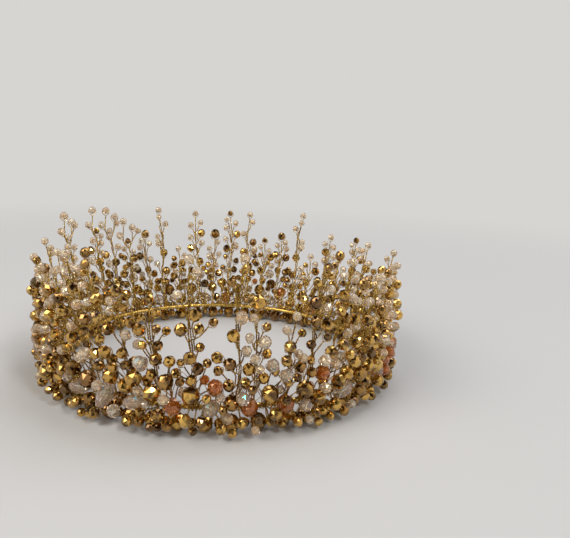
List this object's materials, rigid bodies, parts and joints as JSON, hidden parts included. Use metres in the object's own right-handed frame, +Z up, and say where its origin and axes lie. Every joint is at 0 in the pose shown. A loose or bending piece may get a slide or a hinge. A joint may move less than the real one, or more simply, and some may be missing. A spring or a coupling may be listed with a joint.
{
  "type": "beaded tiara",
  "caption": "Full round tiara of faceted glass beads on upright twisted wire sprays, with a dense base of drilled stones on a wire ring and a rim row of beads that it stands on.",
  "frame": {"origin": "centre of the ring, on the surface that the rim beads stand on", "axes": "+Z up along the crown's axis, front of the crown towards -Y, wearer's left towards +X"},
  "size_m": [0.1914, 0.1925, 0.077],
  "materials": {
    "brass_wire": "drawn gold-coloured wire, twisted",
    "gold_glass": "faceted, mirrored gold coating",
    "champagne_glass": "faceted, pale peach lustre",
    "clear_glass": "faceted, clear with a faint smoky rose tint",
    "copper_glass": "faceted, copper brown lustre"
  },
  "bodies": {
    "root": {"ring_wire": "brass_wire", "rim_wire": "brass_wire", "rim_beads": "gold_glass", "collar_beads": "gold_glass", "gold_beads_front": "gold_glass", "gold_beads_back": "gold_glass", "champagne_beads": "champagne_glass", "spray_01": "brass_wire", "spray_02": "brass_wire", "spray_03": "brass_wire", "spray_04": "brass_wire", "spray_05": "brass_wire", "spray_06": "brass_wire", "spray_07": "brass_wire", "spray_08": "brass_wire", "spray_09": "brass_wire", "spray_10": "brass_wire", "spray_11": "brass_wire", "spray_12": "brass_wire", "stone_01": "clear_glass", "stone_02": "copper_glass", "stone_03": "copper_glass", "stone_04": "gold_glass", "stone_05": "clear_glass", "stone_06": "gold_glass", "stone_07": "clear_glass", "stone_08": "copper_glass", "stone_09": "gold_glass", "stone_10": "clear_glass", "stone_11": "gold_glass", "stone_12": "clear_glass", "stone_13": "gold_glass", "stone_14": "clear_glass", "stone_15": "copper_glass", "stone_16": "gold_glass", "stone_17": "clear_glass", "stone_18": "gold_glass", "stone_19": "copper_glass", "stone_20": "clear_glass", "stone_21": "gold_glass", "stone_22": "clear_glass", "stone_23": "gold_glass", "stone_24": "copper_glass", "stone_25": "clear_glass", "stone_26": "gold_glass", "stone_27": "clear_glass", "stone_28": "gold_glass", "stone_29": "copper_glass", "stone_30": "clear_glass", "stone_31": "gold_glass", "stone_32": "gold_glass", "stone_33": "clear_glass", "stone_34": "clear_glass", "stone_35": "clear_glass", "stone_36": "copper_glass"}
  },
  "joints": []
}
